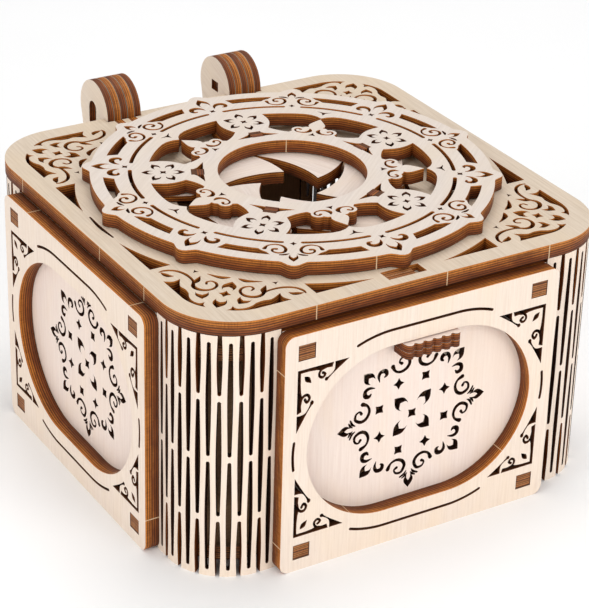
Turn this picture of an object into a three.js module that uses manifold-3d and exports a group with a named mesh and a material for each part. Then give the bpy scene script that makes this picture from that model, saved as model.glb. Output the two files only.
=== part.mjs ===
// A box cut from 3 mm plywood: bent lattice corners, framed sides, a hinged lid with a turning ring
// that opens a five-bladed iris, and a sliding latch in the front.
// Millimetres, +Z up, front facing -Y, origin at the bottom centre of the outer size. The box is
// laid out about the middle of its lid, and the whole is shifted to that origin at the end.
import * as THREE from "three";
import { mergeVertices } from "three/addons/utils/BufferGeometryUtils.js";
import Module from "manifold-3d";

const wasm = await Module();
wasm.setup();

// Boards and gaps
const BOARD = 3; // pitch of boards glued face to face
const GLUE = 0.1; // line between two glued boards
const FIT = 0.3; // gap round a tenon, a peg or a sliding piece

// Box body
const FRAME = { face: 100.2, half: 62, top: 103.7, corner: 4 };
const WINDOW = { z: 52.2, radius: 36.8, straight: 14.8 };
const WALL = { face: 94, half: 59.8, top: 105.2 };
const CORNER = { centre: 68, radius: 26, slit: 1.7, pitch: 9 };
const SHELF = { half: 90.7, corner: 22.7 }; // outline of the floor and top plates
const TENON = { at: 52.7, width: 6.8, reach: 100.1 };
const FLOOR_Z = 5.5;
const TOP_PLATE = { z: 93.2, opening: 78, corner: 14 };
const BACK_NOTCH = { frame: 98.3, wall: 103 }; // heights where the hinge barrels need room

// Lid, ring and iris
const LID = { half: 95, corner: 29, z: 105.5, recess: 70, hub: 48.5 };
const RING = { z: 111.8, board: 2.8, radius: 82.2, knob: 85.6, hub: 30.5, angle: 10.5 };
const RING_SLOT = { inner: 72.6, outer: 77, from: 7.9, to: 21.1, steps: 4 };
const KNOBS = 12;
const MEDALLION = { at: 52.5, radius: 9.5 };
const RETAINER = { z: 102.3, inner: 32.5, outer: 55 };
const DRIVER = { at: 38.5, leg: 3, head: 5, low: 102.4, high: 117.3 };
const PIN = { radius: 1.5, hole: 1.9, head: 3.5, low: 102.9, high: 111.3 };
const IRIS = { blades: 5, pivot: 61, angle: 14, z: 108.8, thick: 2.4, edge: 38, gap: 0.18 };
const LINING = { radius: 31, depth: 3 }; // second board glued under the blade's inner part
const RING_TURN = { closed: 6.9, open: -10.1 }; // degrees either side of rest
const BLADE_RATIO = -1.704; // blade turn for each degree of ring turn

// Hinges and latch
const HINGE = { y: 104.7, z: 112, radius: 13.3, from: 22.05, pitch: 3.25, board: 2.95 };
const HINGE_TENON = { low: 91.2, high: 95.6 };
const HINGE_LEG = { foot: 84, toe: 106, heel: 111 };
const AXLE = { width: 5.2, height: 4, round: 3.6, short: 1.9 };
const LATCH = { left: -11.2, right: 1.2, stem: -2.8, travel: 4, back: 84.3, top: 111.1 };
const LATCH_BODY = { low: 76, high: 92.7, right: 11.2 };
const THUMB = { left: -10.2, right: 15.2, front: 103, z: 82.4, bumps: 6 };

const PALE = new THREE.Color(0xe9ddca);
const WARM = new THREE.Color(0xe0cdb2);
const BURNT = new THREE.Color(0xb5783c);

const group = new THREE.Group();
const degrees = THREE.MathUtils.degToRad;
const point = (x, y) => new THREE.Vector2(x, y);

// ---------- outlines ----------

// Points along an arc, both ends included, angles in degrees.
function arc(x, y, radius, from, to, steps) {
  const points = [];
  for (let i = 0; i <= steps; i += 1) {
    const angle = degrees(from + ((to - from) * i) / steps);
    points.push(point(x + radius * Math.cos(angle), y + radius * Math.sin(angle)));
  }
  return points;
}

const circle = (x, y, radius, steps) => arc(x, y, radius, 0, 360, steps).slice(0, -1);
const polar = (radius, angle) => arc(0, 0, radius, angle, angle, 1)[0];

function rectangle(left, right, low, high) {
  return [point(left, low), point(right, low), point(right, high), point(left, high)];
}

function rounded(left, right, low, high, radius, steps) {
  return [
    ...arc(right - radius, low + radius, radius, -90, 0, steps),
    ...arc(right - radius, high - radius, radius, 0, 90, steps),
    ...arc(left + radius, high - radius, radius, 90, 180, steps),
    ...arc(left + radius, low + radius, radius, 180, 270, steps),
  ];
}

const mirrored = (points) => points.map((p) => point(-p.x, p.y)).reverse();

function turned(points, angle) {
  const centre = point(0, 0);
  return points.map((p) => p.clone().rotateAround(centre, degrees(angle)));
}

// ---------- solids ----------

const prism = (outline, depth) =>
  new THREE.ExtrudeGeometry(new THREE.Shape(outline), { depth, bevelEnabled: false });

function solidOf(geometry) {
  const bare = geometry.clone();
  bare.deleteAttribute("normal");
  bare.deleteAttribute("uv");
  const merged = mergeVertices(bare, 1e-4);
  return new wasm.Manifold(
    new wasm.Mesh({
      numProp: 3,
      vertProperties: merged.attributes.position.array,
      triVerts: new Uint32Array(merged.index.array),
    }),
  );
}

function geometryOf(solid) {
  const mesh = solid.getMesh();
  const geometry = new THREE.BufferGeometry();
  geometry.setAttribute("position", new THREE.BufferAttribute(mesh.vertProperties, 3));
  geometry.setIndex(new THREE.BufferAttribute(mesh.triVerts, 1));
  geometry.computeVertexNormals();
  return geometry;
}

// A plate with an outline, from height 0 to its thickness, with every hole cut right through.
function extruded(outline, holes, thickness) {
  let plate = solidOf(prism(outline, thickness));
  for (const hole of holes)
    plate = plate.subtract(solidOf(prism(hole, thickness + 2).translate(0, 0, -1)));
  return geometryOf(plate);
}

function add(name, geometry, color, parent = group) {
  const material = new THREE.MeshStandardMaterial({ color, roughness: 0.72, metalness: 0 });
  const mesh = new THREE.Mesh(geometry, material);
  mesh.name = name;
  parent.add(mesh);
  return mesh;
}

const X = new THREE.Vector3(1, 0, 0);
const Y = new THREE.Vector3(0, 1, 0);
const Z = new THREE.Vector3(0, 0, 1);
// Outline x and y become world X and Z, and the thickness grows towards -Y, the front.
const FACING_FRONT = new THREE.Matrix4().makeBasis(X, Z, Y.clone().negate());
// Outline x and y become world Y and Z, and the thickness grows towards +X.
const FACING_RIGHT = new THREE.Matrix4().makeBasis(Y, Z, X);

function level(name, outline, holes, low, high, color, parent) {
  const geometry = extruded(outline, holes, high - low).translate(0, 0, low);
  return add(name, geometry, color, parent);
}

function upright(name, outline, holes, inner, outer, color, parent) {
  const geometry = extruded(outline, holes, outer - inner).applyMatrix4(FACING_FRONT);
  return add(name, geometry.translate(0, -inner, 0), color, parent);
}

// The height of one of two glued boards, counted from the lower one's underside.
function layerOf(base, index) {
  const low = base + index * BOARD;
  return [low, low + BOARD - (index === 0 ? GLUE : 0)];
}

// ---------- box body ----------

const SIDES = ["front", "right", "back", "left"];
const TENON_HEIGHTS = [FLOOR_Z, TOP_PLATE.z];
const barrelSpan = [HINGE.from, HINGE.from + 4 * HINGE.pitch + HINGE.board];
const boardX = (index) => HINGE.from + HINGE.board / 2 + index * HINGE.pitch;

function tenonHoles() {
  const holes = [];
  for (const side of [-1, 1])
    for (const z of TENON_HEIGHTS) {
      const half = TENON.width / 2 + FIT;
      const x = side * TENON.at;
      holes.push(rectangle(x - half, x + half, z - FIT, z + 2 * BOARD + FIT));
    }
  return holes;
}

// The slots in the back that the fixed hinge boards are tenoned into.
function hingeTenonHoles() {
  const half = HINGE.board / 2 + FIT;
  const holes = [];
  for (const side of [-1, 1])
    for (const index of [0, 2, 4]) {
      const x = side * boardX(index);
      holes.push(rectangle(x - half, x + half, HINGE_TENON.low - FIT, HINGE_TENON.high + FIT));
    }
  return holes;
}

// Top edge of a back board, right to left, dropped where the hinge barrels turn.
function notchedTop(top, floor) {
  const [near, far] = [barrelSpan[0] - FIT, barrelSpan[1] + FIT];
  const right = [point(far, top), point(far, floor), point(near, floor), point(near, top)];
  return [...right, ...mirrored(right)];
}

function frameOutline(side) {
  const { half, top, corner } = FRAME;
  const upper = side === "back" ? notchedTop(top, BACK_NOTCH.frame) : [];
  return [
    ...arc(half - corner, corner, corner, -90, 0, 3),
    ...arc(half - corner, top - corner, corner, 0, 90, 3),
    ...upper,
    ...arc(corner - half, top - corner, corner, 90, 180, 3),
    ...arc(corner - half, corner, corner, 180, 270, 3),
  ];
}

const windowHole = [
  ...arc(WINDOW.straight, WINDOW.z, WINDOW.radius, -90, 90, 16),
  ...arc(-WINDOW.straight, WINDOW.z, WINDOW.radius, 90, 270, 16),
];

function wallOutline(side) {
  const upper = side === "back" ? notchedTop(WALL.top, BACK_NOTCH.wall) : [];
  const { half, top } = WALL;
  return [point(-half, 0), point(half, 0), point(half, top), ...upper, point(-half, top)];
}

const neck = { left: -3.5, right: 8.5 }; // the thumb tab's neck, where it goes through the wall

function frontSlot() {
  const right = neck.right + LATCH.travel + FIT;
  return rectangle(neck.left - FIT, right, THUMB.z - FIT, THUMB.z + 2 * BOARD + FIT);
}

SIDES.forEach((side, index) => {
  const turn = new THREE.Group();
  turn.rotation.z = (index * Math.PI) / 2;
  group.add(turn);
  const holes = tenonHoles();
  if (side === "back") holes.push(...hingeTenonHoles());
  const wallHoles = side === "front" ? [...holes, frontSlot()] : holes;
  const inner = FRAME.face - 2 * BOARD;
  const outline = frameOutline(side);
  upright(`wall_${side}`, wallOutline(side), wallHoles, WALL.face - BOARD, WALL.face - GLUE, PALE, turn);
  for (const [layer, label] of ["inner", "outer"].entries()) {
    const [low, high] = layerOf(inner, layer);
    upright(`frame_${side}_${label}`, outline, [...holes, windowHole], low, high, PALE, turn);
  }
});

// One quarter of the wall between two frames, slit so that it bends.
function latticeSheet() {
  const { centre, radius, pitch, slit } = CORNER;
  const start = WALL.half + 2 * FIT - centre;
  const height = WALL.top;
  const bends = [0];
  for (let angle = pitch / 2; angle < 90; angle += pitch) bends.push(angle);
  bends.push(90);
  const curve = (r) => bends.map((angle) => polar(r, angle));
  const outline = [
    point(radius, start),
    ...curve(radius),
    point(start, radius),
    point(start, radius - BOARD),
    ...curve(radius - BOARD).reverse(),
    point(radius - BOARD, start),
  ];
  let sheet = solidOf(extruded(outline, [], height));
  const column = (angle, spans, shiftX, shiftY) => {
    for (const [low, high] of spans) {
      const cutter = new THREE.BoxGeometry(3 * BOARD, slit, high - low);
      cutter.translate(radius - BOARD / 2, 0, (low + high) / 2);
      cutter.rotateZ(degrees(angle));
      cutter.translate(shiftX, shiftY, 0);
      sheet = sheet.subtract(solidOf(cutter));
    }
  };
  const bridge = 1.2; // half the height of a bridge between two slits
  const rim = 3.5;
  const closed = [
    [rim, height / 2 - bridge],
    [height / 2 + bridge, height - rim],
  ];
  const open = [
    [-1, height / 4 - bridge],
    [height / 4 + bridge, (3 * height) / 4 - bridge],
    [(3 * height) / 4 + bridge, height + 1],
  ];
  const step = radius * degrees(pitch);
  column(0, closed, 0, -step);
  for (let i = 0; i <= 90 / pitch; i += 1) column(i * pitch, i % 2 ? closed : open, 0, 0);
  column(90, closed, -step, 0);
  return geometryOf(sheet);
}

const sheet = latticeSheet();
["back_right", "back_left", "front_left", "front_right"].forEach((name, index) => {
  const turn = new THREE.Group();
  turn.rotation.z = (index * Math.PI) / 2;
  group.add(turn);
  const piece = add(`corner_lattice_${name}`, sheet.clone(), PALE, turn);
  piece.position.set(CORNER.centre, CORNER.centre, 0);
});

// Outline of a floor or top plate, with two tenons on each side; notch opens the front for the latch.
function shelfOutline(notch) {
  const { half, corner } = SHELF;
  const outline = [];
  SIDES.forEach((side, index) => {
    const edge = [];
    for (const at of [-TENON.at, TENON.at]) {
      const [left, right] = [at - TENON.width / 2, at + TENON.width / 2];
      if (side === "front" && at > 0) edge.push(...notch);
      edge.push(point(left, -half), point(left, -TENON.reach));
      edge.push(point(right, -TENON.reach), point(right, -half));
    }
    edge.push(...arc(half - corner, corner - half, corner, -90, 0, 6).slice(0, -1));
    outline.push(...turned(edge, index * 90));
  });
  return outline;
}

for (const [index, label] of ["lower", "upper"].entries()) {
  const [floorLow, floorHigh] = layerOf(FLOOR_Z, index);
  level(`floor_plate_${label}`, shelfOutline([]), [], floorLow, floorHigh, WARM);
  const { opening, corner, z } = TOP_PLATE;
  const [low, high] = layerOf(z, index);
  const notch = [
    point(LATCH.left - 2 * FIT, -SHELF.half),
    point(LATCH.left - 2 * FIT, FIT - LATCH.back),
    point(LATCH.stem + LATCH.travel + 2 * FIT, FIT - LATCH.back),
    point(LATCH.stem + LATCH.travel + 2 * FIT, -SHELF.half),
  ];
  const hole = rounded(-opening, opening, -opening, opening, corner, 4);
  level(`top_plate_${label}`, shelfOutline(notch), [hole], low, high, WARM);
}

// ---------- lid ----------

const LID_ARM = 75.7; // where the slots for the hinge arms end

function lidOutline() {
  const { half, corner } = LID;
  const [near, far] = [barrelSpan[0] - FIT, barrelSpan[1] + FIT];
  const shelf = HINGE.y - HINGE.radius - 2 * FIT;
  const right = [point(far, half), point(far, shelf)];
  for (const index of [3, 1]) {
    const x = boardX(index);
    const gap = HINGE.board / 2 + FIT;
    right.push(point(x + gap, shelf), point(x + gap, LID_ARM));
    right.push(point(x - gap, LID_ARM), point(x - gap, shelf));
  }
  right.push(point(near, shelf), point(near, half));
  const c = half - corner;
  return [
    ...arc(c, -c, corner, -90, 0, 8),
    ...arc(c, c, corner, 0, 90, 8),
    ...right,
    ...mirrored(right),
    ...arc(-c, c, corner, 90, 180, 8),
    ...arc(-c, -c, corner, 180, 270, 8),
  ];
}

// A slot along an arc about the middle, from angle to angle.
function arcSlot(inner, outer, from, to, steps) {
  return [...arc(0, 0, outer, from, to, steps), ...arc(0, 0, inner, to, from, steps)];
}

const bladeAngles = Array.from({ length: IRIS.blades }, (_, k) => (360 / IRIS.blades) * k);
const hookSlot = (right) =>
  rectangle(LATCH.left - FIT, right, -LATCH.back - 2 * BOARD - FIT, FIT - LATCH.back);

function lidLowerHoles() {
  const holes = [circle(0, 0, LID.hub, 36), hookSlot(LATCH.right + FIT)];
  for (const turn of bladeAngles) {
    const pivot = polar(IRIS.pivot, IRIS.angle + turn);
    holes.push(circle(pivot.x, pivot.y, PIN.hole, 8));
  }
  return holes;
}

const lidUpperHoles = [
  circle(0, 0, LID.recess, 40),
  hookSlot(LATCH.right + LATCH.travel + FIT),
];
level("lid_lower_board", lidOutline(), lidLowerHoles(), ...layerOf(LID.z, 0), WARM);
level("lid_upper_board", lidOutline(), lidUpperHoles, ...layerOf(LID.z, 1), WARM);

// ---------- ring ----------

function ringOutline() {
  const { radius, knob } = RING;
  const outline = [];
  for (let k = 0; k < KNOBS; k += 1) {
    const at = RING.angle - 11 + 30 * k;
    outline.push(polar(radius, at - 15), polar(radius, at - 9), polar(radius, at - 3.6));
    outline.push(polar(radius + 2.4, at - 1.9), polar(knob, at));
    outline.push(polar(radius + 2.4, at + 1.9), polar(radius, at + 3.6), polar(radius, at + 9));
  }
  return outline;
}

// One of the five large openings: two lobes round a spade that stands on the hub.
function ringOpening(at) {
  const { x, y } = polar(MEDALLION.at, 36);
  const lobe = [polar(58.4, 3), ...arc(0, 0, 59, 7, 26, 3)];
  const beside = arc(x, y, MEDALLION.radius, 345, 250, 6);
  const inner = [polar(40.5, 26), polar(40, 16), polar(40, 9)];
  const spade = [polar(43.5, 8.5), polar(46, 4), polar(50, 3.6), polar(53, 0)];
  const half = [...lobe, ...beside, ...inner, ...spade];
  const other = half.map((p) => point(p.x, -p.y)).reverse().slice(1);
  return turned([polar(55.6, 0), ...half, ...other], at);
}

function ringHoles() {
  const holes = [circle(0, 0, RING.hub, 40)];
  for (const turn of bladeAngles) {
    const head = rectangle(
      DRIVER.at - DRIVER.leg / 2 - FIT,
      DRIVER.at + DRIVER.leg / 2 + FIT,
      -DRIVER.head / 2 - FIT,
      DRIVER.head / 2 + FIT,
    );
    holes.push(turned(head, RING.angle + turn), ringOpening(RING.angle + 36 + turn));
  }
  const { inner, outer, from, to, steps } = RING_SLOT;
  for (let k = 0; k < KNOBS; k += 1)
    holes.push(arcSlot(inner, outer, from + 30 * k, to + 30 * k, steps));
  return holes;
}

for (const [index, label] of ["lower", "upper"].entries()) {
  const low = RING.z + index * (RING.board + GLUE);
  level(`ring_${label}_board`, ringOutline(), ringHoles(), low, low + RING.board, PALE);
}

const retainerHoles = [circle(0, 0, RETAINER.inner, 32)];
for (const turn of bladeAngles) {
  const half = DRIVER.leg / 2 + FIT;
  const hole = rectangle(DRIVER.at - half, DRIVER.at + half, -half, half);
  retainerHoles.push(turned(hole, RING.angle + turn));
}
level(
  "ring_retainer",
  circle(0, 0, RETAINER.outer, 32),
  retainerHoles,
  RETAINER.z,
  RETAINER.z + BOARD - GLUE,
  WARM,
);

// A driver: a wide head held in the ring, and a leg that goes down through its blade.
function driverOutline() {
  const { leg, head, low, high } = DRIVER;
  const shoulder = RING.z;
  return [
    point(-leg / 2, low),
    point(leg / 2, low),
    point(leg / 2, shoulder),
    point(head / 2, shoulder),
    point(head / 2, high),
    point(-head / 2, high),
    point(-head / 2, shoulder),
    point(-leg / 2, shoulder),
  ];
}

// ---------- iris ----------

// A point along the curved edge between two closed blades: it leaves the middle at a heading,
// bends left on the edge radius, and stands off by a gap.
function edgePoint(heading, bend, gap) {
  const { edge } = IRIS;
  const [start, now] = [degrees(heading), degrees(heading + bend)];
  return point(
    -edge * Math.sin(start) + (edge + gap) * Math.sin(now),
    edge * Math.cos(start) - (edge + gap) * Math.cos(now),
  );
}

// Where the driver stands on a closed blade when the ring is turned by an angle from rest.
function driverOnBlade(ringTurn) {
  const bladeTurn = BLADE_RATIO * (ringTurn - RING_TURN.closed);
  const driver = polar(DRIVER.at, RING.angle - IRIS.angle + ringTurn);
  return driver.rotateAround(point(IRIS.pivot, 0), degrees(-bladeTurn));
}

// A closed blade, its pivot on +X and its tip in the middle.
function bladeOutline() {
  const heading = -85;
  const reach = 46; // degrees of bend that a neighbour's edge can slide along
  const steps = 8;
  const { pivot, gap } = IRIS;
  const leading = [];
  const trailing = [];
  for (let i = 1; i <= steps; i += 1) {
    leading.push(edgePoint(heading, (reach * i) / steps, -gap));
    trailing.push(edgePoint(heading + 72, (reach * i) / steps, gap));
  }
  return [
    point(0.2, -0.24),
    ...leading,
    point(29, -24.5),
    ...arc(pivot, 0, 7, -125, 100, 8),
    point(44, 10.4),
    point(38, 9.2),
    point(34, 7.4),
    ...trailing.reverse(),
  ];
}

function bladeSlot() {
  const radius = DRIVER.leg * Math.SQRT1_2 + FIT + 0.15;
  const [a, b] = [driverOnBlade(RING_TURN.open), driverOnBlade(RING_TURN.closed)];
  const tilt = THREE.MathUtils.radToDeg(Math.atan2(b.y - a.y, b.x - a.x));
  return [
    ...arc(b.x, b.y, radius, tilt - 90, tilt + 90, 6),
    ...arc(a.x, a.y, radius, tilt + 90, tilt + 270, 6),
  ];
}

const bladeRest = BLADE_RATIO * -RING_TURN.closed;
const bladeHoles = [bladeSlot(), circle(IRIS.pivot, 0, PIN.hole, 8)];

// A blade from its pivot, thicker by the lining inside the circle that shows in the ring at rest.
function bladeGeometry() {
  const { radius, depth } = LINING;
  const middle = point(0, 0).rotateAround(point(IRIS.pivot, 0), degrees(-bladeRest));
  const lining = solidOf(extruded(circle(middle.x, middle.y, radius, 40), [], depth));
  const below = solidOf(extruded(rectangle(-80, 80, -80, 80), [], depth)).subtract(lining);
  const full = solidOf(extruded(bladeOutline(), bladeHoles, depth + IRIS.thick));
  const geometry = geometryOf(full.subtract(below));
  return geometry.translate(-IRIS.pivot, 0, -depth);
}

const bladeBody = bladeGeometry();
bladeAngles.forEach((turn, index) => {
  const number = index + 1;
  const arm = new THREE.Group();
  arm.rotation.z = degrees(IRIS.angle + turn);
  group.add(arm);
  const blade = add(`iris_blade_${number}`, bladeBody.clone(), PALE, arm);
  blade.position.set(IRIS.pivot, 0, IRIS.z);
  blade.rotation.z = degrees(bladeRest);

  const collar = LID.z - FIT;
  const profile = [
    point(0, PIN.low),
    point(PIN.head, PIN.low),
    point(PIN.head, collar),
    point(PIN.radius, collar),
    point(PIN.radius, PIN.high),
    point(0, PIN.high),
  ];
  const pin = add(`blade_pin_${number}`, new THREE.LatheGeometry(profile, 10), BURNT, arm);
  pin.geometry.rotateX(Math.PI / 2);
  pin.position.x = IRIS.pivot;

  const spoke = new THREE.Group();
  spoke.rotation.z = degrees(RING.angle + turn);
  group.add(spoke);
  const leg = extruded(driverOutline(), [], DRIVER.leg).applyMatrix4(FACING_RIGHT);
  const driver = add(`iris_driver_${number}`, leg, BURNT, spoke);
  driver.position.x = DRIVER.at - DRIVER.leg / 2;
});

// ---------- hinges ----------

const discAngle = (dy, sign) =>
  THREE.MathUtils.radToDeg(Math.atan2(sign * Math.sqrt(HINGE.radius ** 2 - dy ** 2), dy));

// The fixed boards reach down behind the back frame and are tenoned into it.
function caseKnuckle() {
  const back = FRAME.face + FIT;
  const end = 360 + discAngle(back - HINGE.y, -1);
  return [
    ...arc(HINGE.y, HINGE.z, HINGE.radius, -20, end, 18),
    point(back, HINGE_TENON.high),
    point(WALL.face - BOARD + GLUE, HINGE_TENON.high),
    point(WALL.face - BOARD + GLUE, HINGE_TENON.low),
    point(back, HINGE_TENON.low),
    point(back, HINGE_LEG.foot),
    point(HINGE_LEG.toe, HINGE_LEG.foot),
    point(HINGE_LEG.heel, HINGE_LEG.foot + 5),
  ];
}

// The moving boards reach forward in slots in the lid, with a foot under it.
function lidKnuckle() {
  const arm = { top: 111.2, low: 105.8, end: LID_ARM + FIT };
  const foot = { from: 70, to: 84, low: 102.4, top: LID.z - FIT };
  const angleAt = (z) => THREE.MathUtils.radToDeg(Math.asin((z - HINGE.z) / HINGE.radius));
  return [
    ...arc(HINGE.y, HINGE.z, HINGE.radius, 180 - angleAt(arm.low) - 360, 180 - angleAt(arm.top), 18),
    point(arm.end, arm.top),
    point(arm.end, foot.top),
    point(foot.from, foot.top),
    point(foot.from, foot.low),
    point(foot.to, foot.low),
    point(foot.to, arm.low),
  ];
}

const boreRound = circle(HINGE.y, HINGE.z, AXLE.round, 14);
const boreFlat = rectangle(
  HINGE.y - AXLE.width / 2 - FIT,
  HINGE.y + AXLE.width / 2 + FIT,
  HINGE.z - AXLE.height / 2 - FIT,
  HINGE.z + AXLE.height / 2 + FIT,
);
for (const [side, label] of [[-1, "left"], [1, "right"]]) {
  for (let index = 0; index < 5; index += 1) {
    const moving = index % 2 === 1;
    const outline = moving ? lidKnuckle() : caseKnuckle();
    const geometry = extruded(outline, [moving ? boreRound : boreFlat], HINGE.board);
    geometry.applyMatrix4(FACING_RIGHT).translate(side * boardX(index) - HINGE.board / 2, 0, 0);
    const kind = moving ? "lid" : "case";
    add(`hinge_${label}_${kind}_board_${index + 1}`, geometry, WARM);
  }
  const [near, far] = barrelSpan;
  const outline = rectangle(
    HINGE.y - AXLE.width / 2,
    HINGE.y + AXLE.width / 2,
    HINGE.z - AXLE.height / 2,
    HINGE.z + AXLE.height / 2,
  );
  const axle = extruded(outline, [], far - near - AXLE.short);
  const start = side > 0 ? near + AXLE.short : -far;
  add(`hinge_${label}_axle`, axle.applyMatrix4(FACING_RIGHT).translate(start, 0, 0), BURNT);
}

// ---------- latch ----------

// Two upright boards with a hook that stands up through the lid.
function latchOutline() {
  const { left, right, stem, top } = LATCH;
  const body = LATCH_BODY;
  const nose = LID.z + BOARD + FIT;
  return [
    point(left, body.low),
    point(body.right, body.low),
    point(body.right, body.high),
    point(stem, body.high),
    point(stem, nose),
    point(right, nose),
    point(right, top),
    point(left, top),
  ];
}

const [tabLow, tabHigh] = [THUMB.z - FIT, THUMB.z + 2 * BOARD + FIT];
const tabWindow = rectangle(neck.left - FIT, neck.right + FIT, tabLow, tabHigh);
for (const [layer, label] of ["rear", "front"].entries()) {
  const [inner, outer] = layerOf(LATCH.back, layer);
  upright(`latch_board_${label}`, latchOutline(), [tabWindow], inner, outer, WARM);
}

// The thumb tab, its front edge a row of bumps for grip.
function thumbOutline() {
  const { left, right, front, bumps } = THUMB;
  const wall = -WALL.face - FIT;
  const outline = [point(neck.left, -LATCH.back), point(neck.left, wall), point(left, wall)];
  const pitch = (right - left) / bumps;
  const radius = pitch * 0.42;
  outline.push(point(left, radius + 1 - front));
  for (let i = 0; i < bumps; i += 1)
    outline.push(...arc(left + pitch * (i + 0.5), radius - front, radius, 200, 340, 4));
  outline.push(point(right, radius + 1 - front), point(right, wall), point(neck.right, wall));
  outline.push(point(neck.right, -LATCH.back));
  return outline;
}

for (const [layer, label] of ["lower", "upper"].entries())
  level(`thumb_tab_${label}`, thumbOutline(), [], ...layerOf(THUMB.z, layer), PALE);

// The latch slides between two blocks, with a keeper board behind it.
const KEEPER = { low: 70, high: 92.7, left: -28, right: 32 };
const keeperOutline = rectangle(KEEPER.left, KEEPER.right, KEEPER.low, KEEPER.high);
upright("latch_keeper", keeperOutline, [], LATCH.back - FIT - BOARD, LATCH.back - FIT, WARM);
const blocks = [
  ["left", KEEPER.left, LATCH.left - FIT],
  ["right", LATCH_BODY.right + LATCH.travel + FIT, KEEPER.right],
];
for (const [label, left, right] of blocks) {
  const outline = rectangle(left, right, KEEPER.low, KEEPER.high);
  upright(`latch_guide_${label}`, outline, [], LATCH.back - FIT + GLUE, WALL.face - BOARD - GLUE, WARM);
}

// The origin is under the middle of the whole box, from the thumb tab to the backs of the hinges.
group.position.y = (THUMB.front - HINGE.y - HINGE.radius) / 2;

export default group;
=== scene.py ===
"""A puzzle box of laser-cut plywood: pierced sides, lattice corners, a turning ring over an iris.

Outlines are in millimetres in the box's own layout, whose middle is the middle of the lid.
"""

import math

import bpy
from mathutils import Matrix, Vector
from mathutils.geometry import delaunay_2d_cdt


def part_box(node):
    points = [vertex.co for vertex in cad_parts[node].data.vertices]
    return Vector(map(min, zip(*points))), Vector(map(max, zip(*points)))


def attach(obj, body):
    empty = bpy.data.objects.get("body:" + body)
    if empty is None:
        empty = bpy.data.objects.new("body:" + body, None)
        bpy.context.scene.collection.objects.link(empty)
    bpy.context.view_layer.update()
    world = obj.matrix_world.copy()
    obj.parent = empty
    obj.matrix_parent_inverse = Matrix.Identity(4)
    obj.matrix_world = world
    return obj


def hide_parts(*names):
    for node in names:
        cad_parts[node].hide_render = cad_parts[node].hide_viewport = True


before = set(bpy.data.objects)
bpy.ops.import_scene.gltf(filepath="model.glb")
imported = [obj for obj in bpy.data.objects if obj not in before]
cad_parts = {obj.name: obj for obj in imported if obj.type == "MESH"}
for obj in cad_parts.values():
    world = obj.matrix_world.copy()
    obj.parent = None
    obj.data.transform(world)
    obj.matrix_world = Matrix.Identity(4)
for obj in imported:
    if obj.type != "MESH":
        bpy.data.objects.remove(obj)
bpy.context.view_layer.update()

MM = 0.001
BOARD = 3  # pitch of boards glued face to face
GLUE = 0.1  # line between two glued boards
FIT = 0.3  # gap round a tenon or a moving board
low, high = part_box("lid_lower_board")
MIDDLE = (low.y + high.y) / 2
SIDES = ["front", "right", "back", "left"]
BARREL = {"y": 104.7, "z": 112, "radius": 13.3, "from": 22.05, "pitch": 3.25, "board": 2.95}
BARREL_NEAR = BARREL["from"] - FIT
BARREL_FAR = BARREL["from"] + 4 * BARREL["pitch"] + BARREL["board"] + FIT


# ---------- outlines ----------


def arc(x, y, radius, start, end, steps):
    """Points along an arc, both ends included, angles in degrees."""
    angles = [math.radians(start + (end - start) * i / steps) for i in range(steps + 1)]
    return [(x + radius * math.cos(a), y + radius * math.sin(a)) for a in angles]


def circle(x, y, radius, steps):
    return arc(x, y, radius, 0, 360, steps)[:-1]


def polar(radius, angle):
    return arc(0, 0, radius, angle, angle, 1)[0]


def rectangle(left, right, bottom, top):
    return [(left, bottom), (right, bottom), (right, top), (left, top)]


def shift(points, x, y):
    return [(px + x, py + y) for px, py in points]


def spin(points, angle):
    c, s = math.cos(math.radians(angle)), math.sin(math.radians(angle))
    return [(x * c - y * s, x * s + y * c) for x, y in points]


def flip(points):
    """Mirrored in the X axis."""
    return [(x, -y) for x, y in reversed(points)]


def swap(points):
    """Mirrored in the diagonal."""
    return [(y, x) for x, y in reversed(points)]


def curve(knots, steps=4):
    """A smooth line through the knots, which hold two or three numbers each."""
    line = []
    for i in range(len(knots) - 1):
        a, b = knots[max(i - 1, 0)], knots[i]
        c, d = knots[i + 1], knots[min(i + 2, len(knots) - 1)]
        for step in range(steps):
            t = step / steps
            line.append(
                tuple(
                    0.5 * (2 * q + (r - p) * t + (2 * p - 5 * q + 4 * r - s) * t**2)
                    + 0.5 * (3 * q - p - 3 * r + s) * t**3
                    for p, q, r, s in zip(a, b, c, d)
                )
            )
    return line + [tuple(knots[-1])]


def rounded_off(knots, steps=4):
    """A smooth closed outline through the knots."""
    around = [knots[-1], *knots, knots[0], knots[1]]
    return curve(around, steps)[steps : -steps - 1]


def stroke(knots, steps=4):
    """The outline of a smooth pen stroke through knots (x, y, width), with round ends."""
    line = curve(knots, steps)
    left, right = [], []
    for i, (x, y, width) in enumerate(line):
        ax, ay, _ = line[max(i - 1, 0)]
        bx, by, _ = line[min(i + 1, len(line) - 1)]
        size = math.hypot(bx - ax, by - ay) or 1
        dx, dy = (bx - ax) / size * width / 2, (by - ay) / size * width / 2
        left.append((x - dy, y + dx))
        right.append((x + dy, y - dx))
    outline = left
    for (x, y, width), (px, py) in ((line[-1], left[-1]), (line[0], right[0])):
        if width > 0.25:
            facing = math.degrees(math.atan2(py - y, px - x))
            outline = outline + arc(x, y, width / 2, facing - 30, facing - 150, 4)
        if (px, py) == left[-1]:
            outline = outline + right[::-1]
    return outline


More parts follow.
